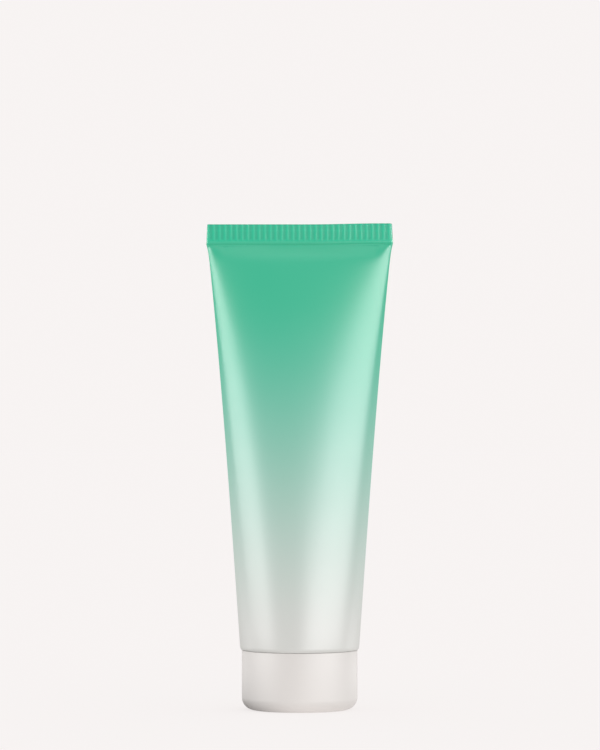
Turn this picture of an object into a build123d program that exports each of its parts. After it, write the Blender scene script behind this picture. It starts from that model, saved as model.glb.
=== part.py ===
"""A squeeze tube of balm that stands upside down on its round screw cap.

The tube's sleeve is extruded round, welded to a moulded head at one end and crimped flat at
the other. Its girth is the same at every height, so it grows wider as it grows flatter. The
head carries a threaded neck, which screws down into a boss inside the cap and seals against
a foam liner there. Lengths are in millimetres. The origin is the centre of the cap's
underside, +Z points up to the crimped seal, and the seal runs along X.
"""
from build123d import *
import os
from math import pi, radians, sqrt, tan

os.makedirs("parts", exist_ok=True)

# The sleeve
sleeve_diameter = 35.0
sleeve_length = 119.45
sleeve_wall = 0.5
sleeve_end_edge = 0.25

# The crimped seal at the top of the sleeve
seal_height = 6.0
seal_thickness = 1.0
seal_side_draw = 0.3
seal_corner_radius = 0.35
rib_pitch = 1.66
rib_groove_width = 1.0
rib_groove_depth = 0.16
rib_border = 0.85

# The head: rim, shoulder, neck and orifice
rim_height = 3.0
rim_wall = 1.0
weld_gap = 0.1
shoulder_flat = 1.8
shoulder_wall = 1.2
shoulder_angle = 33.0
neck_diameter = 13.5
neck_bore = 10.4
neck_edge = 0.3
land_thickness = 1.2
orifice_diameter = 5.0

# The screw thread shared by the neck and the cap's boss
thread_pitch = 3.0
thread_depth = 0.75
thread_base = 1.6
thread_crest = 0.7
thread_clearance = 0.2
thread_sink = 0.15
thread_lead = 0.9
thread_relief = 1.0

# The cap
cap_height = 17.4
cap_step = 0.475
cap_wall = 1.2
cap_floor = 1.5
cap_edge_radius = 3.6
cap_gap = 0.2
cap_rim_edge = 0.25
boss_wall = 1.3
boss_clearance = 1.05

# The liner and the balm
liner_thickness = 1.0
liner_side_gap = 0.3
seat_gap = 0.05
balm_gap = 0.1
headspace = 20.0

# How far the sleeve has widened at a share of its length: power of the share, and part played
widening_shares = {1: 0.8155, 3: 0.142, 69: 0.0425}

# Sections of a loft along the sleeve, and the power that draws them together near the seal
section_count = 24
section_power = 1.7

# The sleeve's radii and heights, worked out from the sizes above
sleeve_radius = sleeve_diameter / 2
girth = pi * sleeve_diameter
seal_width = girth / 2
sleeve_end = cap_height + cap_gap
crease_height = sleeve_end + sleeve_length
overall_height = crease_height + seal_height


def half_width(height):
    """Half the sleeve's width at a height above the floor."""
    share = (height - sleeve_end) / sleeve_length
    widening = sum(part * share**power for power, part in widening_shares.items())
    return sleeve_radius + (seal_width / 2 - sleeve_radius) * widening


def ellipse_girth(half_x, half_y):
    """The girth of an ellipse, by a series that is true to a millionth here."""
    flatness = ((half_x - half_y) / (half_x + half_y)) ** 2
    return pi * (half_x + half_y) * (1 + 3 * flatness / (10 + sqrt(4 - 3 * flatness)))


def half_thickness(half_x):
    """Half the thickness that gives a section of this half-width the sleeve's own girth."""
    low, high = 0, half_x
    for _ in range(50):
        middle = (low + high) / 2
        if ellipse_girth(half_x, middle) < girth:
            low = middle
        else:
            high = middle
    return max(low, seal_thickness / 2)


def sleeve_sections(inset, bottom, top):
    """Heights and half-sizes of the sleeve's sections between two heights, drawn in by inset."""
    for step in range(section_count + 1):
        share = 1 - (1 - step / section_count) ** section_power
        height = bottom + (top - bottom) * share
        half_x = half_width(height)
        yield height, half_x - inset, half_thickness(half_x) - inset


# Radii and heights of the head, which seats inside the narrowest of the sleeve's foot
rim_top = sleeve_end + rim_height
rim_radius = half_thickness(half_width(rim_top)) - sleeve_wall - weld_gap
rim_inner_radius = rim_radius - rim_wall
shoulder_slope = tan(radians(shoulder_angle))
neck_radius = neck_diameter / 2
bore_radius = neck_bore / 2
orifice_radius = orifice_diameter / 2
shoulder_radius = rim_radius - shoulder_flat
neck_root = sleeve_end - (shoulder_radius - neck_radius) * shoulder_slope
neck_tip = cap_floor + liner_thickness + seat_gap
land_top = neck_tip + land_thickness
shoulder_rise = shoulder_wall * sqrt(1 + shoulder_slope**2)
inner_top = sleeve_end + shoulder_rise
inner_root = inner_top - (shoulder_radius - bore_radius) * shoulder_slope

# Radii and heights of the cap
cap_radius = sleeve_radius - cap_step
cap_inner_radius = cap_radius - cap_wall
cap_inner_corner = cap_inner_radius - (cap_edge_radius - cap_floor)
boss_bore_radius = neck_radius + thread_depth + thread_clearance
boss_radius = boss_bore_radius + boss_wall
boss_top = neck_root - boss_clearance

# Where the two ridges of the thread start, half a pitch apart, and how far they climb
neck_thread_start = neck_tip + thread_lead + thread_base / 2
neck_thread_rise = neck_root - thread_relief - thread_base / 2 - neck_thread_start
boss_thread_start = neck_thread_start + thread_pitch / 2
boss_thread_rise = boss_top - thread_sink - thread_base / 2 - boss_thread_start

# The sleeve: an outer skin and a cavity lofted through ellipses of one girth, and the seal
with BuildPart() as tube_sleeve:
    for height, half_x, half_y in sleeve_sections(0, sleeve_end, crease_height):
        with BuildSketch(Plane.XY.offset(height)):
            Ellipse(half_x, half_y)
    loft(ruled=True)
    chamfer(tube_sleeve.faces().sort_by(Axis.Z)[0].edges(), sleeve_end_edge)
    for height, half_x, half_y in sleeve_sections(
        sleeve_wall, sleeve_end, crease_height - seal_thickness
    ):
        with BuildSketch(Plane.XY.offset(height)):
            Ellipse(half_x, half_y)
    loft(ruled=True, mode=Mode.SUBTRACT)
    with BuildSketch(Plane.XZ) as seal_outline:
        with BuildLine():
            Polyline(
                (-seal_width / 2, crease_height),
                (seal_width / 2, crease_height),
                (seal_width / 2 - seal_side_draw, overall_height),
                (-seal_width / 2 + seal_side_draw, overall_height),
                close=True,
            )
        make_face()
        fillet(seal_outline.vertices().group_by(Axis.Y)[-1], seal_corner_radius)
    extrude(amount=seal_thickness / 2, both=True)
    groove_count = int((seal_width - 2 * rib_border) / rib_pitch)
    with BuildSketch(Plane.XY.offset(crease_height + rib_border)):
        for side, count in ((-1, groove_count + 1), (1, groove_count)):
            with Locations((0, side * seal_thickness / 2)):
                with GridLocations(rib_pitch, 0, count, 1):
                    Polygon(
                        (-rib_groove_width / 2, 0),
                        (0, -rib_groove_depth),
                        (rib_groove_width / 2, 0),
                        (0, rib_groove_depth),
                    )
    extrude(amount=seal_height, mode=Mode.SUBTRACT)
tube_sleeve.part.label = "tube_sleeve"
export_step(tube_sleeve.part, "parts/tube_sleeve.step")

# The head: one turned profile, with a ridge wound round the neck
with BuildPart() as tube_head:
    with BuildSketch(Plane.XZ) as head_section:
        with BuildLine():
            Polyline(
                (rim_radius, rim_top),
                (rim_radius, sleeve_end),
                (shoulder_radius, sleeve_end),
                (neck_radius, neck_root),
                (neck_radius, neck_tip + neck_edge),
                (neck_radius - neck_edge, neck_tip),
                (orifice_radius, neck_tip),
                (orifice_radius, land_top),
                (bore_radius, land_top),
                (bore_radius, inner_root),
                (shoulder_radius, inner_top),
                (rim_inner_radius, inner_top),
                (rim_inner_radius, rim_top),
                close=True,
            )
        make_face()
    revolve(axis=Axis.Z)
    with BuildLine() as neck_helix:
        Helix(thread_pitch, neck_thread_rise, neck_radius, center=(0, 0, neck_thread_start))
    with BuildSketch(Plane.XZ.shift_origin((neck_radius, 0, neck_thread_start))):
        with BuildLine():
            Polyline(
                (-thread_sink, thread_base / 2),
                (-thread_sink, -thread_base / 2),
                (0, -thread_base / 2),
                (thread_depth, -thread_crest / 2),
                (thread_depth, thread_crest / 2),
                (0, thread_base / 2),
                close=True,
            )
        make_face()
    sweep(path=neck_helix.wires()[0], is_frenet=True)
tube_head.part.label = "tube_head"
export_step(tube_head.part, "parts/tube_head.step")

# The balm: what fills the neck, the shoulder and the sleeve, up to the air under the seal
with BuildPart() as balm_fill:
    fill_start = rim_top + balm_gap
    for height, half_x, half_y in sleeve_sections(
        sleeve_wall + balm_gap, fill_start, crease_height - headspace
    ):
        with BuildSketch(Plane.XY.offset(height)):
            Ellipse(half_x, half_y)
    loft(ruled=True)
    with BuildSketch(Plane.XZ):
        with BuildLine():
            Polyline(
                (0, fill_start),
                (rim_inner_radius - balm_gap, fill_start),
                (rim_inner_radius - balm_gap, inner_top + balm_gap),
                (shoulder_radius - balm_gap, inner_top + balm_gap),
                (bore_radius - balm_gap, inner_root + balm_gap),
                (bore_radius - balm_gap, land_top + balm_gap),
                (orifice_radius - balm_gap, land_top + balm_gap),
                (orifice_radius - balm_gap, neck_tip + balm_gap),
                (0, neck_tip + balm_gap),
                close=True,
            )
        make_face()
    revolve(axis=Axis.Z)
balm_fill.part.label = "balm_fill"
export_step(balm_fill.part, "parts/balm_fill.step")

# The cap: a turned cup with a boss inside it, and a ridge wound inside the boss
with BuildPart() as screw_cap:
    with BuildSketch(Plane.XZ) as cap_section:
        with BuildLine():
            Line((0, 0), (cap_radius - cap_edge_radius, 0))
            RadiusArc(
                (cap_radius - cap_edge_radius, 0), (cap_radius, cap_edge_radius), -cap_edge_radius
            )
            Line((cap_radius, cap_edge_radius), (cap_radius, cap_height))
            Line((cap_radius, cap_height), (cap_inner_radius, cap_height))
            Line((cap_inner_radius, cap_height), (cap_inner_radius, cap_edge_radius))
            Line((cap_inner_radius, cap_edge_radius), (cap_inner_corner, cap_floor))
            Line((cap_inner_corner, cap_floor), (boss_radius, cap_floor))
            Line((boss_radius, cap_floor), (boss_radius, boss_top))
            Line((boss_radius, boss_top), (boss_bore_radius, boss_top))
            Line((boss_bore_radius, boss_top), (boss_bore_radius, cap_floor))
            Line((boss_bore_radius, cap_floor), (0, cap_floor))
            Line((0, cap_floor), (0, 0))
        make_face()
        rim_corners = cap_section.vertices().filter_by(lambda corner: corner.Y > boss_top)
        chamfer(rim_corners.filter_by(lambda corner: corner.X > boss_radius), cap_rim_edge)
    revolve(axis=Axis.Z)
    with BuildLine() as boss_helix:
        Helix(thread_pitch, boss_thread_rise, boss_bore_radius, center=(0, 0, boss_thread_start))
    with BuildSketch(Plane.XZ.shift_origin((boss_bore_radius, 0, boss_thread_start))):
        with BuildLine():
            Polyline(
                (thread_sink, -thread_base / 2),
                (thread_sink, thread_base / 2),
                (0, thread_base / 2),
                (-thread_depth, thread_crest / 2),
                (-thread_depth, -thread_crest / 2),
                (0, -thread_base / 2),
                close=True,
            )
        make_face()
    sweep(path=boss_helix.wires()[0], is_frenet=True)
screw_cap.part.label = "screw_cap"
export_step(screw_cap.part, "parts/screw_cap.step")

# The liner: a loose foam disc on the floor of the boss
with BuildPart() as cap_liner:
    with BuildSketch(Plane.XY.offset(cap_floor)):
        Circle(boss_bore_radius - liner_side_gap)
    extrude(amount=liner_thickness)
cap_liner.part.label = "cap_liner"
export_step(cap_liner.part, "parts/cap_liner.step")
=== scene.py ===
"""Dresses a squeeze tube of balm that stands on its screw cap, and lights it in a pale studio.

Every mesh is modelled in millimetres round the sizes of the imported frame, and scaled to metres
when it is finished. The tube's sleeve has one girth from end to end: it is round at the cap and
pressed flat at the seal, so each ring of its skin is laid out by its share of that girth.
"""

import logging
import math
from dataclasses import dataclass
from enum import Enum
from typing import Callable, Mapping, Sequence

import bmesh
import bpy
import numpy as np
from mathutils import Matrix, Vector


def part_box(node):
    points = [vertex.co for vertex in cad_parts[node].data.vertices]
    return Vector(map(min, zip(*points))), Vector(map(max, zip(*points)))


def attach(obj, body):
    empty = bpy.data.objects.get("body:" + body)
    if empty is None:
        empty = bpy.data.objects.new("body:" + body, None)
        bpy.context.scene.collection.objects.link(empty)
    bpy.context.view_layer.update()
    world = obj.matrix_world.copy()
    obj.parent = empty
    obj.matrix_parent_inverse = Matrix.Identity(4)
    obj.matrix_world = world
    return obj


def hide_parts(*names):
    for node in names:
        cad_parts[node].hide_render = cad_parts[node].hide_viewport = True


MM = 0.001
# Points of a mesh that are nearer to each other than this, in millimetres, are one point.
MERGE_DISTANCE = 0.002
# The power that takes a displayed colour to the linear one that a shader works with.
DISPLAY_POWER = 2.2
# The reach over which a share is eased at 0 and at 1, where a finish doesn't give its own.
EASE = 0.1
log = logging.getLogger("balm_tube")

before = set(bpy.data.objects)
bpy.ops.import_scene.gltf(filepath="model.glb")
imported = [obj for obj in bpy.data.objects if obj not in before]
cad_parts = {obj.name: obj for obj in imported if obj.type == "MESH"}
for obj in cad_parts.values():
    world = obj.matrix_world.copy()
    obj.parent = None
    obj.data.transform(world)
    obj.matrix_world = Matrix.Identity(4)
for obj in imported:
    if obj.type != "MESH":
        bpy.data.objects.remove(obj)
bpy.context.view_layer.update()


class Node(Enum):
    """The solids of the frame that the pieces here stand for."""

    SLEEVE = "tube_sleeve"
    HEAD = "tube_head"
    BALM = "balm_fill"
    CAP = "screw_cap"
    LINER = "cap_liner"


class Body(Enum):
    """The bodies that move apart when the cap is unscrewed."""

    CAP = "cap"
    LINER = "liner"
    TUBE = "tube"


class Slot(Enum):
    """The record's material slots."""

    SLEEVE = "sleeve_plastic"
    HEAD = "head_plastic"
    BALM = "balm"
    CAP = "cap_plastic"
    LINER = "liner_foam"


@dataclass(frozen=True)
class Extent:
    """A solid's reach in millimetres: half its width along X, its foot and its top."""

    half_width: float
    bottom: float
    top: float

    @classmethod
    def of(cls, node: Node) -> "Extent":
        """Reads the reach of one of the frame's solids."""
        low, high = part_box(node.value)
        return cls((high.x - low.x) / 2 / MM, low.z / MM, high.z / MM)


def smooth_step(value: float, low: float, high: float) -> float:
    """Rises smoothly from 0 at low to 1 at high."""
    share = min(max((value - low) / (high - low), 0.0), 1.0)
    return share * share * (3 - 2 * share)


def soft_min(first: float, second: float, reach: float) -> float:
    """The smaller of two numbers, with their crossing rounded over a reach."""
    share = min(max(0.5 + (second - first) / (2 * reach), 0.0), 1.0)
    return second + (first - second) * share - reach * share * (1 - share)


def between(low: float, high: float, count: int) -> list[float]:
    """Evenly spaced values from low to high, both ends included."""
    return [low + (high - low) * step / (count - 1) for step in range(count)]


class Num:
    """A number in a node graph: Python's operators on it add Math nodes."""

    def __init__(self, graph: "Graph", socket: bpy.types.NodeSocket) -> None:
        """Keeps the socket that the number comes out of, and the graph it belongs to."""
        self.graph = graph
        self.socket = socket

    def math(self, operation: str, *others: "Num | float", first: "Num | float | None" = None) -> "Num":
        """Adds one Math node.

        Args:
            operation: the node's operation, such as "ADD".
            others: what follows the first value.
            first: the first value, if it isn't this number.

        Returns:
            The node's result.
        """
        values = [self if first is None else first, *others]
        node = self.graph.node("ShaderNodeMath", {"operation": operation}, dict(enumerate(values)))
        return Num(self.graph, node.outputs[0])

    def __add__(self, other: "Num | float") -> "Num":
        """The sum."""
        return self.math("ADD", other)

    def __sub__(self, other: "Num | float") -> "Num":
        """The difference."""
        return self.math("SUBTRACT", other)

    def __rsub__(self, other: float) -> "Num":
        """A plain number less this one."""
        return self.math("SUBTRACT", self, first=other)

    def __mul__(self, other: "Num | float") -> "Num":
        """The product."""
        return self.math("MULTIPLY", other)

    def __pow__(self, power: "Num | float") -> "Num":
        """This number to a power."""
        return self.math("POWER", power)

    def eased(self, low_ease: float = EASE, high_ease: float = EASE) -> "Num":
        """Holds the number between 0 and 1, with each end eased over the given reach."""
        return self.math("SMOOTH_MAX", 0.0, low_ease).math("SMOOTH_MIN", 1.0, high_ease)

    def either(self, other: "Num | float") -> "Num":
        """The larger of two numbers."""
        return self.math("MAXIMUM", other)


class Ray(Enum):
    """The kinds of ray that see the plain background rather than the studio's light."""

    CAMERA = "Is Camera Ray"
    GLOSSY = "Is Glossy Ray"
    TRANSMISSION = "Is Transmission Ray"


class Graph:
    """A node tree, and the one way in which nodes are added to it."""

    def __init__(self, owner: bpy.types.Material | bpy.types.World) -> None:
        """Empties a node tree.

        Args:
            owner: the material or the world that it belongs to.
        """
        owner.use_nodes = True
        self.tree = owner.node_tree
        self.tree.nodes.clear()

    def node(
        self,
        kind: str,
        settings: Mapping[str, object] | None = None,
        values: Mapping[str | int, object] | None = None,
    ) -> bpy.types.Node:
        """Adds a node.

        Args:
            kind: the node's type.
            settings: its own settings, which are set before its sockets.
            values: what each input socket holds, or the Num or socket that feeds it.

        Returns:
            The new node.
        """
        node = self.tree.nodes.new(kind)
        for name, setting in (settings or {}).items():
            setattr(node, name, setting)
        for name, value in (values or {}).items():
            source = value.socket if isinstance(value, Num) else value
            if isinstance(source, bpy.types.NodeSocket):
                self.tree.links.new(source, node.inputs[name])
            else:
                node.inputs[name].default_value = source
        return node

    def background_mask(self) -> Num:
        """Tells the rays that see the plain background from the others.

        Returns:
            A number that is 1 for a camera, glossy or transmission ray and 0 otherwise.
        """
        path = self.node("ShaderNodeLightPath")
        camera, glossy, transmission = (Num(self, path.outputs[ray.value]) for ray in Ray)
        return camera.either(glossy).either(transmission)


class Shader(Graph):
    """A material's node tree with one Principled BSDF, which every finish here starts from."""

    def __init__(self, name: str, fixed: Mapping[str, object]) -> None:
        """Makes the material.

        Args:
            name: the material's name.
            fixed: values of the BSDF's sockets that are the same all over the surface.
        """
        self.material = bpy.data.materials.new(name)
        super().__init__(self.material)
        self.surface = self.node("ShaderNodeBsdfPrincipled", values=fixed)
        self.output = self.node(
            "ShaderNodeOutputMaterial", values={"Surface": self.surface.outputs[0]}
        )

    def feed(self, name: str, value: Num | bpy.types.NodeSocket) -> None:
        """Lets something that varies over the surface drive one of the BSDF's sockets."""
        source = value.socket if isinstance(value, Num) else value
        self.tree.links.new(source, self.surface.inputs[name])

    def place(self) -> bpy.types.NodeSocket:
        """The point on the piece, in metres."""
        return self.node("ShaderNodeTexCoord").outputs["Object"]

    def coordinates(self) -> tuple[Num, Num, Num]:
        """Reads where the point lies on the piece.

        Returns:
            Its X, Y and Z, in millimetres.
        """
        split = self.node("ShaderNodeSeparateXYZ", values={0: self.place()})
        x, y, z = (Num(self, split.outputs[axis]) * (1 / MM) for axis in "XYZ")
        return x, y, z

    def grain(self, size: float, detail: float = 2.0, stretch: float = 1.0) -> Num:
        """Smooth noise between about 0 and 1.

        Args:
            size: the width of one grain, in millimetres.
            detail: how many finer layers are added.
            stretch: how much longer a grain is along Z than across.

        Returns:
            The noise.
        """
        scaled = self.node(
            "ShaderNodeMapping", values={"Vector": self.place(), "Scale": (1, 1, 1 / stretch)}
        )
        noise = self.node(
            "ShaderNodeTexNoise",
            values={"Vector": scaled.outputs[0], "Scale": 1 / (size * MM), "Detail": detail},
        )
        return Num(self, noise.outputs["Fac"])

    def bump(self, relief: Num, depth: float) -> None:
        """Raises the surface by a relief between 0 and 1 that is depth millimetres high."""
        bump = self.node(
            "ShaderNodeBump", values={"Strength": 1.0, "Distance": depth * MM, "Height": relief}
        )
        self.feed("Normal", bump.outputs["Normal"])

    def tinted(
        self,
        low: Sequence[float],
        high: Sequence[float],
        share: Num,
        lags: Sequence[float] = (1.0, 1.0, 1.0),
        gains: Sequence[Num | float] = (1.0, 1.0, 1.0),
    ) -> None:
        """Colours the surface from low to high by a share, evenly to the eye.

        Args:
            low: the displayed colour where the share is 0.
            high: the displayed colour where the share is 1.
            share: the share of the high colour.
            lags: for red, green and blue, the power by which each lags behind the share.
            gains: what red, green and blue are multiplied by.
        """
        channels = [
            ((share if lag == 1 else share**lag) * (top - bottom) + bottom) ** DISPLAY_POWER * gain
            for bottom, top, lag, gain in zip(low, high, lags, gains)
        ]
        colour = self.node("ShaderNodeCombineColor", values=dict(enumerate(channels)))
        self.feed("Base Color", colour.outputs[0])


@dataclass(frozen=True)
class FadedFilm:
    """The sleeve's satin film: green at the seal, fading to a warm off-white at the cap.

    The seal's pressed film is glossier, and its red is cut there, a painted shade. Its colour is
    painted a little lighter on the ribs' crests and darker in their grooves, a painted highlight and
    shade, and is a little lighter along the weld line and in the plain border under the ribs.
    """

    crease: float
    rib_pitch: float
    rib_start: float
    rib_shift: float
    green: tuple[float, float, float] = (0.148, 0.714, 0.554)
    white: tuple[float, float, float] = (0.806, 0.813, 0.797)
    lags: tuple[float, float, float] = (1.12, 1.6, 1.3)
    fade_top: float = 122.0
    fade_bottom: float = 20.0
    fade_power: float = 1.5
    ior: float = 1.5
    roughness: float = 0.36
    roughness_drift: float = 0.05
    seal_roughness: float = 0.26
    # The share of red kept on the seal: the cut is a painted shade.
    seal_red_shade: float = 0.25
    seal_reach: float = 0.8
    rib_reach: float = 0.5
    # Gains on the colour for the grooves' painted shade and the crests' painted highlight.
    groove_shade_gain: float = 0.9
    crest_highlight_gain: float = 1.13
    border_reach: float = 0.25
    border_gain: float = 0.08
    weld_above_crease: float = 3.8
    weld_reach: float = 0.22
    weld_ease: float = 0.2
    weld_gain: float = 0.07
    grazing_start: float = 0.4
    grazing_slope: float = 2.2
    grazing_roughness: float = 0.55
    mottle: float = 0.012
    mottle_size: float = 9.0
    mottle_stretch: float = 2.0
    skin_size: float = 0.55
    skin_depth: float = 0.0016

    def material(self) -> bpy.types.Material:
        """Makes the film's material.

        Returns:
            The material.
        """
        shader = Shader("satin_faded_film", {"IOR": self.ior})
        x, y, z = shader.coordinates()
        climb = (z - self.fade_bottom) * (1 / (self.fade_top - self.fade_bottom))
        fade = 1 - climb.eased() ** self.fade_power
        mottling = shader.grain(self.mottle_size, stretch=self.mottle_stretch) * self.mottle
        on_seal = ((z - self.crease) * (1 / self.seal_reach)).eased()
        crimp_shading = self.crimp_shade_and_tone(x, y, z)
        # The seal's red is cut as a painted shade, and the ribs' painted highlight and shade multiply
        # every channel.
        gains = (crimp_shading * (1 - on_seal * (1 - self.seal_red_shade)), crimp_shading, crimp_shading)
        shader.tinted(self.green, self.white, fade + mottling, self.lags, gains)
        drift = (shader.grain(self.mottle_size) - 0.5) * self.roughness_drift
        pressed_smooth = on_seal * (self.seal_roughness - self.roughness)
        shader.feed("Roughness", drift + self.roughness + pressed_smooth + self.satin(shader))
        shader.bump(shader.grain(self.skin_size), self.skin_depth)
        return shader.material

    def satin(self, shader: Shader) -> Num:
        """Roughens the film where it is seen at a grazing angle and a gloss would glare.

        Args:
            shader: the film's material.

        Returns:
            What is added to the roughness.
        """
        facing = Num(shader, shader.node("ShaderNodeLayerWeight").outputs["Facing"])
        grazing = ((facing - self.grazing_start) * self.grazing_slope).eased()
        return grazing * self.grazing_roughness

    def crimp_shade_and_tone(self, x: Num, y: Num, z: Num) -> Num:
        """How much the pressed film's colour is changed: a painted highlight on the ribs' crests,
        painted shade in their grooves, and lighter along the weld line and border.

        Args:
            x: the place along the seal, in millimetres.
            y: the place through it, whose sign tells the front from the back.
            z: the height.

        Returns:
            What the film's colour is multiplied by.
        """
        phase = (x + self.rib_shift) * (math.tau / self.rib_pitch)
        crests = phase.math("COSINE") * y.math("SIGN") * -0.5 + 0.5
        weld = self.crease + self.weld_above_crease
        above_weld = (z - weld).eased()
        ribbed = ((z - self.rib_start) * (1 / self.rib_reach)).eased()
        contrast = self.crest_highlight_gain - self.groove_shade_gain
        # Painted highlight on the ribs' crests and painted shade in their grooves, narrower above the
        # weld line.
        shade = crests ** (above_weld + 1) * contrast + (self.groove_shade_gain - 1)
        off_weld = (z - weld).math("ABSOLUTE") * (1 / self.weld_reach)
        line = (1 - off_weld).eased(self.weld_ease, self.weld_ease)
        border = ((z - self.crease) * (1 / self.border_reach)).eased() * (1 - ribbed)
        return ribbed * shade + border * self.border_gain + line * self.weld_gain + 1


@dataclass(frozen=True)
class MouldedPlastic:
    """A moulded plastic of one colour, with the faint drift that a polished mould leaves."""

    name: str
    pale: tuple[float, float, float]
    deep: tuple[float, float, float]
    roughness: float
    roughness_drift: float = 0.04
    drift_size: float = 7.0
    skin_size: float = 0.8
    skin_depth: float = 0.001
    ior: float = 1.5

    def material(self) -> bpy.types.Material:
        """Makes the plastic's material.

        Returns:
            The material.
        """
        shader = Shader(self.name, {"IOR": self.ior})
        shader.tinted(self.deep, self.pale, shader.grain(self.drift_size))
        drift = (shader.grain(self.drift_size) - 0.5) * self.roughness_drift
        shader.feed("Roughness", drift + self.roughness)
        shader.bump(shader.grain(self.skin_size), self.skin_depth)
        return shader.material


@dataclass(frozen=True)
class CellFoam:
    """The liner's closed-cell foam: matt, with small cells on every face."""

    pale: tuple[float, float, float] = (0.95, 0.95, 0.94)
    deep: tuple[float, float, float] = (0.86, 0.86, 0.85)
    roughness: float = 0.82
    cell_roughness: float = 0.1
    cell_size: float = 0.32
    cell_depth: float = 0.03
    ior: float = 1.4

    def material(self) -> bpy.types.Material:
        """Makes the foam's material.

        Returns:
            The material.
        """
        shader = Shader("closed_cell_foam", {"IOR": self.ior})
        cells = shader.node(
            "ShaderNodeTexVoronoi",
            values={"Vector": shader.place(), "Scale": 1 / (self.cell_size * MM)},
        )
        distance = Num(shader, cells.outputs["Distance"])
        shader.tinted(self.pale, self.deep, distance)
        shader.feed("Roughness", distance * self.cell_roughness + self.roughness)
        shader.bump(1 - distance, self.cell_depth)
        return shader.material


@dataclass(frozen=True)
class SoftBalm:
    """The balm: pale, waxy and a little translucent."""

    pale: tuple[float, float, float] = (0.97, 0.96, 0.90)
    deep: tuple[float, float, float] = (0.93, 0.91, 0.82)
    roughness: float = 0.42
    swirl_roughness: float = 0.1
    swirl_size: float = 5.0
    swirl_detail: float = 3.0
    swirl_depth: float = 0.15
    ior: float = 1.45
    scatter_share: float = 0.2
    scatter_depth: float = 2.0

    def material(self) -> bpy.types.Material:
        """Makes the balm's material.

        Returns:
            The material.
        """
        fixed = {
            "IOR": self.ior,
            "Subsurface Weight": self.scatter_share,
            "Subsurface Scale": self.scatter_depth * MM,
        }
        shader = Shader("soft_balm", fixed)
        swirl = shader.grain(self.swirl_size, detail=self.swirl_detail)
        shader.tinted(self.deep, self.pale, swirl)
        shader.feed("Roughness", swirl * self.swirl_roughness + self.roughness)
        shader.bump(swirl, self.swirl_depth)
        return shader.material


@dataclass(frozen=True)
class Corner:
    """A point of a turned outline, and the distance from it at which its rounding starts."""

    radius: float
    height: float
    rounding: float = 0.0
    segments: int = 4


def turned(corners: Sequence[Corner], steps: int) -> bmesh.types.BMesh:
    """Turns an outline about the Z axis.

    Args:
        corners: the outline's points in order, from one end on the axis to the other, or a loop.
        steps: how many faces make a full turn.

    Returns:
        The closed skin, with its faces pointing outwards.
    """
    mesh = bmesh.new()
    points = [mesh.verts.new((corner.radius, 0, corner.height)) for corner in corners]
    for start, end in zip(points, points[1:]):
        mesh.edges.new((start, end))
    if corners[0].radius > 0:
        mesh.edges.new((points[-1], points[0]))
    for point, corner in zip(points, corners):
        if corner.rounding:
            bmesh.ops.bevel(
                mesh, geom=[point], offset=corner.rounding, offset_type="OFFSET",
                segments=corner.segments, profile=0.5, affect="VERTICES", material=-1,
            )
    bmesh.ops.spin(
        mesh, geom=mesh.verts[:] + mesh.edges[:], cent=(0, 0, 0), axis=(0, 0, 1),
        angle=math.tau, steps=steps, use_merge=True,
    )
    close_skin(mesh)
    return mesh


def close_skin(mesh: bmesh.types.BMesh) -> None:
    """Merges points that coincide and turns every face outwards."""
    bmesh.ops.remove_doubles(mesh, verts=mesh.verts[:], dist=MERGE_DISTANCE)
    bmesh.ops.recalc_face_normals(mesh, faces=mesh.faces[:])


Ring = Callable[[float], tuple[float, float, float]]


def ringed(rings: Sequence[Ring], columns: int) -> bmesh.types.BMesh:
    """Draws a skin up through rings of the same number of points.

    Args:
        rings: for each ring, what gives the place of the point at a share of its girth.
        columns: how many points a ring has.

    Returns:
        The skin. A last ring whose front and back meet is closed.
    """
    mesh = bmesh.new()
    column = mesh.verts.layers.int.new("column")
    start = bmesh.ops.create_circle(mesh, cap_ends=False, segments=columns, radius=1.0)["verts"]
    for index, point in enumerate(start):
        point[column] = index
    edges = mesh.edges[:]
    points = start
    for step, ring in enumerate(rings):
        if step:
            grown = bmesh.ops.extrude_edge_only(mesh, edges=edges)["geom"]
            grown_edges = [item for item in grown if isinstance(item, bmesh.types.BMEdge)]
            edges = [edge for edge in grown_edges if edge.is_boundary]
            points = [item for item in grown if isinstance(item, bmesh.types.BMVert)]
        for point in points:
            point.co = ring(point[column] / columns)
    close_skin(mesh)
    return mesh


def finished(
    mesh: bmesh.types.BMesh,
    name: str,
    node: Node,
    body: Body,
    material: bpy.types.Material,
    sharp_angle: float = 35.0,
) -> bpy.types.Object:
    """Scales a mesh to metres and makes it a piece that stands for one of the frame's solids.

    Args:
        mesh: the piece's mesh, in millimetres.
        name: the piece's name.
        node: the solid it replaces.
        body: the body it rides on.
        material: its finish.
        sharp_angle: the angle in degrees from which an edge stays sharp.

    Returns:
        The piece's object.
    """
    bmesh.ops.scale(mesh, vec=(MM, MM, MM), verts=mesh.verts[:])
    data = bpy.data.meshes.new(name)
    mesh.to_mesh(data)
    mesh.free()
    data.shade_smooth()
    data.set_sharp_from_angle(angle=math.radians(sharp_angle))
    data.materials.append(material)
    piece = bpy.data.objects.new(name, data)
    bpy.context.scene.collection.objects.link(piece)
    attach(piece, body.value)
    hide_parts(node.value)
    data.calc_loop_triangles()
    log.info("%s: %d triangles, rides on %s", name, len(data.loop_triangles), body.value)
    return piece


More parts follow.
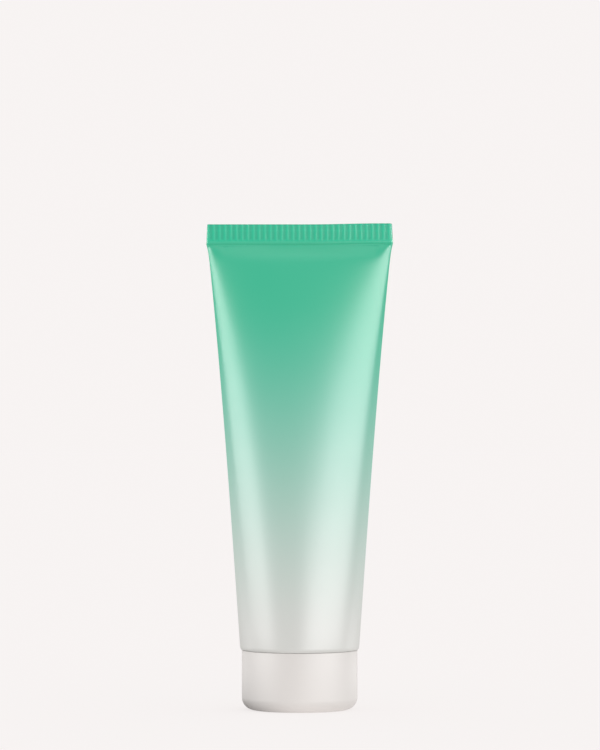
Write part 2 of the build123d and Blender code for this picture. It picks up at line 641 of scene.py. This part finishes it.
@dataclass
class Sleeve:
    """The film sleeve: round at the cap, pressed flat and ribbed at the seal.

    The crease is the line at which the seal starts. Under it the skin opens by a steep wedge,
    the press, and the fold at each end of the seal, the ear, stays open a little higher.
    """

    reach: Extent
    rib_count: int = 33
    columns_per_rib: int = 10
    inner_rings: int = 14
    foot_rings: int = 6
    body_rings: int = 50
    rib_rings: int = 4
    trim_rings: int = 5
    ring_power: float = 1.7
    table_steps: int = 1600
    halvings: int = 40
    sharp_angle: float = 50.0
    wall: float = 0.5
    seal_height: float = 6.0
    seal_thickness: float = 1.0
    side_draw: float = 0.3
    seal_end_round: float = 0.4
    seal_blend: float = 0.25
    crease_drop: float = 0.22
    press_slope: float = 0.95
    press_round: float = 0.7
    press_round_start: float = 0.5
    press_round_end: float = 2.0
    press_round_least: float = 0.001
    ear_start: float = 0.8
    ear_lead: float = 3.2
    ear_onset: float = 0.8
    ear_end: float = 5.0
    rib_height: float = 0.034
    rib_share: float = 0.6
    rib_shift: float = 0.28
    rib_border: float = 0.95
    rib_run_in: float = 0.35
    rib_full: float = 1.0
    crease_depth: float = 0.12
    crease_width: float = 0.28
    # The pressed line's section: shares of its width going up, and of its depth there.
    crease_section: tuple[tuple[float, float], ...] = (
        (0.3, 0.7), (0.6, 1.0), (0.9, 1.0), (1.3, 0.5), (1.7, 0.0),
    )
    trim_rise: float = 0.3
    trim_rise_start: float = 3.0
    trim_rise_end: float = 24.0
    trim_rise_reach: float = 12.0
    left_corner: float = 0.12
    right_corner: float = 0.45
    corner_reach: float = 1.2
    edge_round: float = 0.1
    foot_draw: float = 0.45
    foot_height: float = 1.2
    # The outline widens by a sum of powers of the height's share: each power and its part.
    widening: tuple[tuple[int, float], ...] = ((1, 0.8155), (3, 0.142), (69, 0.0425))

    @property
    def seal_width(self) -> float:
        """The seal's width, which is half the sleeve's girth."""
        return 2 * self.reach.half_width

    @property
    def radius(self) -> float:
        """The radius of the sleeve's round end."""
        return self.seal_width / math.pi

    @property
    def crease(self) -> float:
        """The height at which the seal starts."""
        return self.reach.top - self.seal_height

    @property
    def body_top(self) -> float:
        """The height at which the pressed line under the seal starts."""
        return self.crease - self.crease_drop

    @property
    def rib_pitch(self) -> float:
        """The distance from one rib to the next."""
        return self.seal_width / self.rib_count

    @property
    def columns(self) -> int:
        """The points round the sleeve: ribs on both faces of the seal."""
        return 2 * self.rib_count * self.columns_per_rib

    def half_width(self, height: float) -> float:
        """Works out the sleeve's outline.

        Args:
            height: a height up to the crease.

        Returns:
            Half the sleeve's width there.
        """
        share = (height - self.reach.bottom) / (self.crease - self.reach.bottom)
        widened = sum(part * share**power for power, part in self.widening)
        return self.radius + (self.reach.half_width - self.radius) * widened

    def girth_of(self, half_x: float, half_y: float) -> float:
        """The girth of an ellipse, by a series that is true to one part in 5,000 here."""
        flatness = ((half_x - half_y) / (half_x + half_y)) ** 2
        return math.pi * (half_x + half_y) * (1 + 3 * flatness / (10 + math.sqrt(4 - 3 * flatness)))

    def half_thickness(self, height: float) -> float:
        """Finds the thickness that keeps the sleeve's girth.

        Args:
            height: a height up to the crease.

        Returns:
            Half the thickness there, and at least half the seal's.
        """
        half_x = self.half_width(height)
        low, high = 0.0, half_x
        for _ in range(self.halvings):
            middle = (low + high) / 2
            if self.girth_of(half_x, middle) < 2 * self.seal_width:
                low = middle
            else:
                high = middle
        return max(low, self.seal_thickness / 2)

    def pressed_thickness(self, height: float) -> float:
        """Works out the thickness in the middle, where the jaws have pressed the skin.

        Args:
            height: a height up to the crease.

        Returns:
            Half the thickness there.
        """
        below = self.crease - height
        wedge = self.seal_thickness / 2 + self.press_slope * below
        opened = smooth_step(below, self.press_round_start, self.press_round_end)
        rounding = max(self.press_round * opened, self.press_round_least)
        return soft_min(self.half_thickness(height), wedge, rounding)

    def ear_thickness(self, height: float) -> float:
        """Works out the thickness that the fold at each end of the seal holds open.

        Args:
            height: a height up to the crease.

        Returns:
            Half the thickness there.
        """
        below = self.crease - height
        held_open = smooth_step(below, 0, self.ear_onset) * (
            1 - smooth_step(below, self.ear_onset, self.ear_end)
        )
        return self.half_thickness(height - self.ear_lead * held_open)

    def angles(self, half_x: float, half_y: float) -> np.ndarray:
        """Spaces a ring's columns evenly by its girth.

        Args:
            half_x: half the ring's width.
            half_y: half its thickness.

        Returns:
            The ellipse's angle at each column.
        """
        angle = np.linspace(0, math.tau, self.table_steps + 1)
        steps = np.hypot(np.diff(half_x * np.cos(angle)), np.diff(half_y * np.sin(angle)))
        run = np.concatenate(([0.0], np.cumsum(steps)))
        return np.interp(np.arange(self.columns) / self.columns * run[-1], run, angle)

    def rise(self, x: float, height: float) -> float:
        """Slants the trim, which is cut a little out of square.

        Args:
            x: the place along the seal.
            height: the height before the slant.

        Returns:
            How far the point rises: 0 at the right, and less than 0 towards the left.
        """
        along = smooth_step(x, self.trim_rise_start, self.trim_rise_end) - 1
        return self.trim_rise * along * smooth_step(
            height, self.crease - self.trim_rise_reach, self.crease
        )

    def body_ring(self, height: float, draw: float = 0.0, inset: float = 0.0) -> Ring:
        """A ring of the body.

        Args:
            height: the ring's height.
            draw: how far the skin is drawn in there, as at the foot's rounding.
            inset: the distance inside the skin, for the inner wall.

        Returns:
            What gives the place of each point of the ring.
        """
        half_x = self.half_width(height)
        level = min(height + self.crease_drop, self.crease)
        half_y, middle_y = self.half_thickness(level), self.pressed_thickness(level)
        ear_y = self.ear_thickness(level)
        angles = self.angles(half_x, half_y)
        flat = smooth_step(height, self.body_top - self.seal_blend, self.body_top)
        drawn_in = draw + inset
        closed = inset > 0 and half_y < 2 * inset

        def place(share: float) -> tuple[float, float, float]:
            """Places a point of the ring.

            Args:
                share: the point's share of the girth.

            Returns:
                The point's X, Y and Z.
            """
            angle = angles[round(share * self.columns)]
            round_x, round_y = math.cos(angle), math.sin(angle)
            flat_x, flat_y = self.seal_place(share, half_x)
            ear = smooth_step(abs(round_x), self.ear_start, 1.0)
            extent = 0 if closed else middle_y + (ear_y - middle_y) * ear - drawn_in
            x = (round_x + (flat_x - round_x) * flat) * (half_x - drawn_in)
            y = (round_y + (flat_y - round_y) * flat) * extent
            return x, y, height + self.rise(x, height)

        return place

    def seal_place(self, share: float, half_x: float) -> tuple[float, float]:
        """Places a share of the girth on the flat seal.

        Args:
            share: the share of the girth.
            half_x: half the seal's width.

        Returns:
            The point's X and Y, as shares of the seal's half-sizes.
        """
        turn = (share % 1.0) * 2
        x = 1 - 2 * (turn if turn < 1 else 2 - turn)
        end = min((1 - abs(x)) * half_x / self.seal_end_round, 1.0)
        side = 1 if turn < 1 else -1
        return x, side * math.sqrt(1 - (1 - end) ** 2)

    def rib(self, x: float, side: float) -> float:
        """Shapes the crimp, in which a crest on one face backs a groove on the other.

        Args:
            x: the place along the seal.
            side: more than 0 on one face and less on the other.

        Returns:
            How far the face stands above its grooves, as a share of the ribs' height.
        """
        phase = (x + self.rib_shift) / self.rib_pitch + (0.5 if side > 0 else 0.0)
        from_crest = abs(phase - round(phase)) / (self.rib_share / 2)
        return math.cos(from_crest * math.pi / 2) ** 2 if from_crest < 1 else 0.0

    def seal_ring(self, height: float, ribbed: float, pressed: float, thinned: float = 1.0) -> Ring:
        """A ring of the seal.

        Args:
            height: the ring's height.
            ribbed: how far the ribs have risen, from 0 to 1.
            pressed: how deep the face is pressed in.
            thinned: the share of the seal's thickness that is left, which rounds its top edge.

        Returns:
            What gives the place of each point of the ring.
        """
        drawn = self.side_draw * max(height - self.crease, 0) / self.seal_height
        half_x = self.half_width(min(height, self.crease)) - drawn

        def place(share: float) -> tuple[float, float, float]:
            """Places a point of the ring.

            Args:
                share: the point's share of the girth.

            Returns:
                The point's X, Y and Z.
            """
            x_share, y_share = self.seal_place(share, half_x)
            x = x_share * half_x
            corner = self.right_corner if x > 0 else self.left_corner
            into = max(height - (self.reach.top - corner), 0) / corner
            cut = corner * (1 - math.sqrt(max(1 - into * into, 0)))
            near_end = smooth_step(abs(x), half_x - self.corner_reach, half_x)
            groove = self.rib_height * (1 - self.rib(x, y_share)) * ribbed
            half_y = (self.seal_thickness / 2 - pressed - groove) * thinned
            x -= math.copysign(cut * near_end, x)
            return x, y_share * half_y, height + self.rise(x, height)

        return place

    def rings(self) -> list[Ring]:
        """Lists the rings of the whole sleeve.

        Returns:
            The rings, from the closed top of its cavity down the inside, round the foot and up.
        """
        bottom, body_top, top = self.reach.bottom, self.body_top, self.reach.top
        inner = []
        for step in range(self.inner_rings + 1):
            share = 1 - (step / self.inner_rings) ** self.ring_power
            inner.append(self.body_ring(bottom + (body_top - bottom) * share, inset=self.wall))
        foot = []
        for step in range(self.foot_rings):
            turn = math.pi / 2 * step / self.foot_rings
            draw = self.foot_draw * (1 - math.sin(turn))
            foot.append(self.body_ring(bottom + self.foot_height * (1 - math.cos(turn)), draw=draw))
        start = bottom + self.foot_height
        body = []
        for step in range(self.body_rings + 1):
            share = (1 - step / self.body_rings) ** self.ring_power
            body.append(self.body_ring(body_top - (body_top - start) * share))
        pressed = [
            self.seal_ring(body_top + self.crease_width * share, 0.0, self.crease_depth * depth)
            for share, depth in self.crease_section
        ]
        rib_start = self.crease + self.rib_border
        run_in = [
            self.seal_ring(rib_start + self.rib_run_in * share, smooth_step(share, 0, 1), 0.0)
            for share in between(0, 1, self.rib_rings)
        ]
        rib_end = top - self.right_corner
        rib_heights = between(rib_start + self.rib_full, rib_end, self.rib_rings)
        ribs = [self.seal_ring(height, 1.0, 0.0) for height in rib_heights]
        trim = []
        for turn in between(1 / self.trim_rings, 1.0, self.trim_rings):
            height = rib_end + self.right_corner * math.sin(turn * math.pi / 2)
            near_top = max(height - (top - self.edge_round), 0) / self.edge_round
            trim.append(self.seal_ring(height, 1.0, self.edge_round * near_top**2 / 2))
        closed = self.seal_ring(top, 1.0, 0.0, thinned=0.0)
        return inner + foot + body + pressed + run_in + ribs + trim + [closed]

    def build(self) -> bpy.types.Object:
        """Makes the sleeve.

        Returns:
            The sleeve's object.
        """
        mesh = ringed(self.rings(), self.columns)
        rib_start = self.crease + self.rib_border
        film = FadedFilm(self.crease, self.rib_pitch, rib_start, self.rib_shift).material()
        return finished(
            mesh, "film_sleeve", Node.SLEEVE, Body.TUBE, film, self.sharp_angle
        )


@dataclass(frozen=True)
class Thread:
    """A right-handed ridge wound round the axis, with its ends run out to nothing.

    It starts at a height and climbs by another. Its section narrows smoothly from its base to
    its crest, and each end fades over twice the run-out, which is a share of a turn.
    """

    start: float
    climb: float
    pitch: float = 3.0
    depth: float = 0.75
    base: float = 1.6
    crest: float = 0.7
    run_out: float = 0.12

    def ridge(self, x: float, y: float, height: float) -> float:
        """Shapes the ridge.

        Args:
            x: the place of a point of the wall along X.
            y: its place along Y.
            height: its height.

        Returns:
            How far the ridge stands out there, as a share of its depth.
        """
        turn = math.atan2(y, x) / math.tau
        wound = (height - self.start) / self.pitch
        lap = round(wound - turn)
        along = turn + lap
        end = self.climb / self.pitch
        offset = abs(wound - along) * self.pitch
        flank = 1 - smooth_step(offset, self.crest / 2, self.base / 2)
        run_in = smooth_step(along, -self.run_out, self.run_out)
        run_away = 1 - smooth_step(along, end - self.run_out, end + self.run_out)
        return flank * run_in * run_away

    def press(self, mesh: bmesh.types.BMesh, wall: float, outwards: bool) -> None:
        """Moves the points of a round wall out or in to form the ridge.

        Args:
            mesh: the turned mesh.
            wall: the wall's radius.
            outwards: whether the ridge stands out from the axis.
        """
        for point in mesh.verts:
            radius = math.hypot(point.co.x, point.co.y)
            if abs(radius - wall) < MERGE_DISTANCE:
                height = self.depth * self.ridge(*point.co)
                scale = (radius + (height if outwards else -height)) / radius
                point.co.x *= scale
                point.co.y *= scale


@dataclass
class Head:
    """The moulded head inside the sleeve's end: rim, shoulder, threaded neck and orifice.

    The land is the thickness of the wall round the orifice. The lead and the relief are the
    plain stretches of the neck before and after its thread.
    """

    reach: Extent
    sleeve_end: float
    finish: MouldedPlastic
    steps: int = 192
    rim_wall: float = 1.0
    shoulder_flat: float = 1.8
    shoulder_wall: float = 1.2
    shoulder_angle: float = 33.0
    neck_radius: float = 6.75
    bore_radius: float = 5.2
    land: float = 1.2
    orifice_radius: float = 2.5
    small_round: float = 0.25
    wall_rows: int = 84
    lead: float = 0.9
    relief: float = 1.0
    boss_room: float = 1.05

    @property
    def slope(self) -> float:
        """The shoulder's rise over its run."""
        return math.tan(math.radians(self.shoulder_angle))

    @property
    def shoulder_radius(self) -> float:
        """The radius at which the shoulder starts to slope."""
        return self.reach.half_width - self.shoulder_flat

    @property
    def neck_root(self) -> float:
        """The height at which the neck meets the shoulder."""
        return self.sleeve_end - (self.shoulder_radius - self.neck_radius) * self.slope

    @property
    def inner_top(self) -> float:
        """The height at which the shoulder's inner face starts to slope."""
        return self.sleeve_end + self.shoulder_wall * math.sqrt(1 + self.slope**2)

    @property
    def inner_root(self) -> float:
        """The height at which the bore meets the shoulder's inner face."""
        return self.inner_top - (self.shoulder_radius - self.bore_radius) * self.slope

    @property
    def boss_top(self) -> float:
        """The height of the cap's boss, which ends short of the shoulder."""
        return self.neck_root - self.boss_room

    def thread(self) -> Thread:
        """The neck's thread."""
        start = self.reach.bottom + self.lead + Thread.base / 2
        return Thread(start, self.neck_root - self.relief - Thread.base / 2 - start)

    def corners(self) -> list[Corner]:
        """Lists the corners of the head's outline.

        Returns:
            The corners, from the rim's top down the outside and back up the bore.
        """
        rim, end, tip = self.reach.half_width, self.sleeve_end, self.reach.bottom
        shoulder, inner_top = self.shoulder_radius, self.inner_top
        neck_top, neck_foot = self.neck_root - self.small_round, tip + 2 * self.small_round
        neck = [
            Corner(self.neck_radius, height)
            for height in between(neck_top, neck_foot, self.wall_rows)
        ]
        return [
            Corner(rim, self.reach.top, self.small_round),
            Corner(rim, end, self.small_round),
            Corner(shoulder, end, self.small_round),
            *neck,
            Corner(self.neck_radius, tip, self.small_round),
            Corner(self.orifice_radius, tip, self.small_round),
            Corner(self.orifice_radius, tip + self.land, self.small_round),
            Corner(self.bore_radius, tip + self.land, self.small_round),
            Corner(self.bore_radius, self.inner_root, self.small_round),
            Corner(shoulder, inner_top, self.small_round),
            Corner(rim - self.rim_wall, inner_top, self.small_round),
            Corner(rim - self.rim_wall, self.reach.top, self.small_round),
        ]

    def build(self) -> bpy.types.Object:
        """Makes the head.

        Returns:
            The head's object.
        """
        mesh = turned(self.corners(), self.steps)
        self.thread().press(mesh, self.neck_radius, outwards=True)
        return finished(
            mesh, "threaded_head", Node.HEAD, Body.TUBE, self.finish.material()
        )


@dataclass
class Cap:
    """The smooth screw cap: a rounded cup with a threaded boss inside it.

    Its rim is lifted above the solid's, so that the gap under the sleeve looks as narrow as the
    real one. The sink is the plain stretch at each end of the boss's bore.
    """

    reach: Extent
    neck: Thread
    neck_radius: float
    boss_top: float
    finish: MouldedPlastic
    steps: int = 256
    wall: float = 1.2
    floor: float = 1.5
    edge_radius: float = 3.6
    edge_segments: int = 12
    rim_round: float = 0.2
    rim_lift: float = 0.15
    small_round: float = 0.4
    boss_wall: float = 1.3
    clearance: float = 0.2
    sink: float = 0.15
    wall_rows: int = 72

    @property
    def bore_radius(self) -> float:
        """The radius of the boss's bore, which clears the neck's thread."""
        return self.neck_radius + self.neck.depth + self.clearance

    def thread(self) -> Thread:
        """The boss's thread, half a pitch from the neck's."""
        start = self.neck.start + self.neck.pitch / 2
        return Thread(start, self.boss_top - self.sink - Thread.base / 2 - start)

    def corners(self) -> list[Corner]:
        """Lists the corners of the cap's outline.

        Returns:
            The corners, from the middle of its base round the outside to its inner floor.
        """
        outside, top = self.reach.half_width, self.reach.top + self.rim_lift
        inside, boss = outside - self.wall, self.bore_radius + self.boss_wall
        inner_corner = inside - (self.edge_radius - self.floor)
        bore = [
            Corner(self.bore_radius, height)
            for height in between(self.boss_top - self.sink, self.floor + self.sink, self.wall_rows)
        ]
        return [
            Corner(0, 0),
            Corner(outside, 0, self.edge_radius, self.edge_segments),
            Corner(outside, top, self.rim_round),
            Corner(inside, top, self.rim_round),
            Corner(inside, self.edge_radius, self.small_round),
            Corner(inner_corner, self.floor, self.small_round),
            Corner(boss, self.floor, self.small_round),
            Corner(boss, self.boss_top, self.rim_round),
            Corner(self.bore_radius, self.boss_top),
            *bore,
            Corner(self.bore_radius, self.floor),
            Corner(0, self.floor),
        ]

    def build(self) -> bpy.types.Object:
        """Makes the cap.

        Returns:
            The cap's object.
        """
        mesh = turned(self.corners(), self.steps)
        self.thread().press(mesh, self.bore_radius, outwards=False)
        return finished(mesh, "smooth_cap", Node.CAP, Body.CAP, self.finish.material())


@dataclass
class Liner:
    """The loose foam disc on the floor of the cap's boss."""

    reach: Extent
    finish: CellFoam
    steps: int = 96
    edge_round: float = 0.12

    def build(self) -> bpy.types.Object:
        """Makes the liner.

        Returns:
            The liner's object.
        """
        radius, bottom, top = self.reach.half_width, self.reach.bottom, self.reach.top
        mesh = turned(
            [
                Corner(0, bottom),
                Corner(radius, bottom, self.edge_round),
                Corner(radius, top, self.edge_round),
                Corner(0, top),
            ],
            self.steps,
        )
        return finished(mesh, "foam_liner", Node.LINER, Body.LINER, self.finish.material())


@dataclass
class Balm:
    """The balm inside the sleeve, the shoulder and the neck, up to the air under the seal."""

    reach: Extent
    sleeve: Sleeve
    head: Head
    finish: SoftBalm
    gap: float = 0.1
    body_rings: int = 24
    sag: float = 1.6
    sag_rings: int = 6

    def round_ring(self, radius: float, height: float) -> Ring:
        """A round ring, its points spaced as the sleeve's are."""
        return lambda share: (
            radius * math.cos(share * math.tau), radius * math.sin(share * math.tau), height
        )

    def rings(self) -> list[Ring]:
        """Lists the rings of the balm.

        Returns:
            The rings, from the orifice up to the sunk middle of the balm's top.
        """
        head, gap, bottom = self.head, self.gap, self.reach.bottom
        land = head.reach.bottom + head.land + gap
        rim = head.reach.half_width - head.rim_wall - gap
        fill_start = head.reach.top + gap
        turned_part = (
            (0, bottom),
            (head.orifice_radius - gap, bottom),
            (head.orifice_radius - gap, land),
            (head.bore_radius - gap, land),
            (head.bore_radius - gap, head.inner_root + gap),
            (head.shoulder_radius - gap, head.inner_top + gap),
            (rim, head.inner_top + gap),
            (rim, fill_start),
        )
        rings = [self.round_ring(radius, height) for radius, height in turned_part]
        inset = self.sleeve.wall + gap
        rings += [
            self.sleeve.body_ring(height, inset=inset)
            for height in between(fill_start, self.reach.top, self.body_rings)
        ]
        rim_ring = rings[-1]
        for step in range(1, self.sag_rings + 1):
            rings.append(self.sunk_ring(rim_ring, 1 - step / self.sag_rings))
        return rings

    def sunk_ring(self, rim: Ring, share: float) -> Ring:
        """A ring of the balm's top, which sinks towards the middle.

        Args:
            rim: the ring at the top's edge.
            share: how far out the ring lies, from 0 in the middle to 1 at the edge.

        Returns:
            What gives the place of each point of the ring.
        """

        def place(along: float) -> tuple[float, float, float]:
            """Places the point at a share of the girth."""
            x, y, height = rim(along)
            return x * share, y * share, height - self.sag * (1 - share * share)

        return place

    def build(self) -> bpy.types.Object:
        """Makes the balm."""
        mesh = ringed(self.rings(), self.sleeve.columns)
        return finished(mesh, "balm", Node.BALM, Body.TUBE, self.finish.material())


def hang(
    name: str,
    place: Sequence[float],
    turn: Sequence[float],
    size: Sequence[float],
    radiance: float,
) -> None:
    """Hangs a flat lamp that only sheens show, so that the colours keep the even light.

    Args:
        name: the lamp's name.
        place: where its middle is, in metres.
        turn: how it is turned from facing straight down.
        size: its width and its length.
        radiance: how bright its face is, where 1 is white.
    """
    data = bpy.data.lights.new(name, "AREA")
    data.shape = "RECTANGLE"
    data.size, data.size_y = size
    data.energy = radiance * size[0] * size[1] * math.pi
    data.cycles.use_multiple_importance_sampling = False
    light = bpy.data.objects.new(name, data)
    light.location, light.rotation_euler = place, turn
    light.visible_camera = False
    light.visible_diffuse = False
    bpy.context.scene.collection.objects.link(light)


@dataclass(frozen=True)
class Softbox:
    """A soft light with one upright edge and one that may lean, hung beside the tube.

    Its edges are bearings in degrees from the camera's side of the tube, and its heights and its
    distance from the tube's axis are in metres.
    """

    name: str
    upright_edge: float
    low_edge: float
    high_edge: float
    bottom: float
    top: float
    radiance: float
    strips: int = 5
    distance: float = 0.55

    def build(self) -> None:
        """Hangs the light as strips, one above the other."""
        tall = (self.top - self.bottom) / self.strips
        for index in range(self.strips):
            share = (index + 0.5) / self.strips
            leaning_edge = self.low_edge + (self.high_edge - self.low_edge) * share
            self.strip(index, leaning_edge, self.bottom + tall * (index + 0.5), tall)

    def strip(self, index: int, leaning_edge: float, height: float, tall: float) -> None:
        """Hangs one strip, which faces the tube's axis.

        Args:
            index: its number, counted from the lowest.
            leaning_edge: the bearing of its edge that isn't the upright one.
            height: the height of its middle.
            tall: its height from edge to edge.
        """
        bearing = math.radians((self.upright_edge + leaning_edge) / 2)
        half_angle = math.radians(abs(self.upright_edge - leaning_edge) / 2)
        place = (math.sin(bearing) * self.distance, -math.cos(bearing) * self.distance, height)
        size = (2 * self.distance * math.tan(half_angle), tall)
        hang(f"{self.name}_{index}", place, (math.pi / 2, 0, bearing), size, self.radiance)


@dataclass(frozen=True)
class Overhead:
    """A soft light above the tube and a little in front of it, facing straight down."""

    name: str
    forward: float
    height: float
    width: float
    length: float
    radiance: float

    def build(self) -> None:
        """Hangs the light."""
        place, size = (0, -self.forward, self.height), (self.width, self.length)
        hang(self.name, place, (0, 0, 0), size, self.radiance)


@dataclass
class Studio:
    """The pale studio: floor, background, soft lights and the camera.

    Places and sizes are in metres, and the lens and the sensor in millimetres. The floor carries a
    painted shadow left of the cap and a painted pool of light in front of it, which the tube's rays see
    and no camera ray does.
    """

    pale: tuple[float, float, float, float] = (0.9345, 0.9005, 0.8925, 1.0)
    ambient: float = 1.0
    floor_reach: float = 4.0
    floor_steps: int = 96
    floor_own_light: float = 0.8
    floor_bounce: float = 0.9
    # A painted shadow on the floor left of the cap, and below it a painted pool of light in front of
    # it, both hidden from the camera.
    shade_place: tuple[float, float, float] = (-0.024, -0.002, 0.0)
    shade_reach: float = 0.026
    shade_depth: float = 0.95
    light_pool_place: tuple[float, float, float] = (0.007, -0.032, 0.0)
    light_pool_reach: float = 0.028
    light_pool_gain: float = 0.36
    patch_ease: float = 0.3
    camera_distance: float = 1.228
    camera_height: float = 0.0984
    camera_side: float = 0.0001
    lens: float = 200.2
    sensor: float = 36.0

    def world(self) -> None:
        """Makes the background, and the even light that the studio's walls throw."""
        world = bpy.data.worlds.new("pale_studio")
        bpy.context.scene.world = world
        graph = Graph(world)
        seen = graph.node("ShaderNodeBackground", values={"Color": self.pale})
        light = graph.node(
            "ShaderNodeBackground", values={"Color": (1, 1, 1, 1), "Strength": self.ambient}
        )
        mix = graph.node(
            "ShaderNodeMixShader",
            values={0: graph.background_mask(), 1: light.outputs[0], 2: seen.outputs[0]},
        )
        graph.node("ShaderNodeOutputWorld", values={"Surface": mix.outputs[0]})

    def floor(self) -> None:
        """Lays the floor, which shows the background's colour and keeps the tube's shadow."""
        mesh = bmesh.new()
        bmesh.ops.create_circle(
            mesh, cap_ends=True, segments=self.floor_steps, radius=self.floor_reach
        )
        data = bpy.data.meshes.new("studio_floor")
        mesh.to_mesh(data)
        mesh.free()
        shader = Shader("pale_floor", {"Roughness": 1.0, "Specular IOR Level": 0.0})
        colour = self.floor_colour(shader)
        shader.feed("Base Color", colour)
        glow = shader.node("ShaderNodeEmission", values={"Color": colour})
        mask = shader.background_mask().either(self.floor_bounce) * self.floor_own_light
        mix = shader.node(
            "ShaderNodeMixShader", values={0: mask, 1: shader.surface.outputs[0], 2: glow.outputs[0]}
        )
        shader.tree.links.new(mix.outputs[0], shader.output.inputs["Surface"])
        data.materials.append(shader.material)
        floor = bpy.data.objects.new("studio_floor", data)
        bpy.context.scene.collection.objects.link(floor)

    def floor_colour(self, shader: Shader) -> bpy.types.NodeSocket:
        """Colours the floor, with a painted shadow and a painted pool of light by the cap that no
        camera ray sees.

        Args:
            shader: the floor's material.

        Returns:
            The colour.
        """
        camera = Num(shader, shader.node("ShaderNodeLightPath").outputs[Ray.CAMERA.value])
        dark = self.painted_patch(shader, self.shade_place, self.shade_reach) * self.shade_depth
        bright = self.painted_patch(shader, self.light_pool_place, self.light_pool_reach) * self.light_pool_gain
        # The painted shadow darkens and the painted pool of light brightens the floor for every ray but
        # the camera's.
        gain = (bright * (1 - dark) - dark) * (1 - camera) + 1
        channels = {index: gain * level for index, level in enumerate(self.pale[:3])}
        return shader.node("ShaderNodeCombineColor", values=channels).outputs[0]

    def painted_patch(self, shader: Shader, place: Sequence[float], reach: float) -> Num:
        """A soft round patch on the floor, for the painted shadow and the painted pool of light.

        Args:
            shader: the floor's material.
            place: the patch's middle, in metres.
            reach: its radius.

        Returns:
            A number that is 1 in the middle and 0 from the radius outwards.
        """
        offset = shader.node(
            "ShaderNodeVectorMath", {"operation": "DISTANCE"}, {0: shader.place(), 1: place}
        )
        nearness = 1 - Num(shader, offset.outputs["Value"]) * (1 / reach)
        return nearness.eased(self.patch_ease, self.patch_ease)

    def lights(self) -> None:
        """Hangs a tall box and a low glow by the cap on each side, and a box above."""
        for light in (
            Softbox(
                "box_left", upright_edge=-50.1, low_edge=-105.5, high_edge=-53.4,
                bottom=0.032, top=0.467, radiance=11.2,
            ),
            Softbox(
                "box_right", upright_edge=85.9, low_edge=-1.6, high_edge=79.1,
                bottom=0.0, top=0.651, radiance=9.78,
            ),
            Softbox(
                "glow_right", upright_edge=92.0, low_edge=140.0, high_edge=140.0,
                bottom=0.0, top=0.016, radiance=3.3, strips=1, distance=0.1,
            ),
            Softbox(
                "glow_left", upright_edge=-95.0, low_edge=-140.0, high_edge=-140.0,
                bottom=0.0, top=0.016, radiance=2.3, strips=1, distance=0.1,
            ),
            Overhead("box_above", forward=0.06, height=0.62, width=0.6, length=0.95, radiance=0.9),
        ):
            light.build()

    def camera(self) -> None:
        """Sets the camera level, in front of the tube."""
        data = bpy.data.cameras.new("camera")
        data.lens = self.lens
        data.sensor_width = self.sensor
        camera = bpy.data.objects.new("camera", data)
        camera.location = (self.camera_side, -self.camera_distance, self.camera_height)
        camera.rotation_euler = (math.pi / 2, 0, 0)
        bpy.context.scene.collection.objects.link(camera)
        bpy.context.scene.camera = camera

    def build(self) -> None:
        """Sets up the whole studio."""
        bpy.context.scene.view_settings.view_transform = "Standard"
        self.world()
        self.floor()
        self.lights()
        self.camera()


def main() -> None:
    """Builds every piece of the tube and the studio round it."""
    logging.basicConfig(level=logging.INFO, format="%(message)s")
    sleeve = Sleeve(Extent.of(Node.SLEEVE))
    head = Head(
        Extent.of(Node.HEAD), sleeve.reach.bottom,
        MouldedPlastic("satin_head_plastic", (0.955, 0.950, 0.940), (0.940, 0.935, 0.925), 0.4),
    )
    cap = Cap(
        Extent.of(Node.CAP), head.thread(), head.neck_radius, head.boss_top,
        MouldedPlastic("gloss_cap_plastic", (0.848, 0.834, 0.820), (0.840, 0.826, 0.813), 0.5),
    )
    for part in (
        sleeve,
        head,
        cap,
        Liner(Extent.of(Node.LINER), CellFoam()),
        Balm(Extent.of(Node.BALM), sleeve, head, SoftBalm()),
    ):
        part.build()
    Studio().build()


if __name__ == "__main__":
    main()
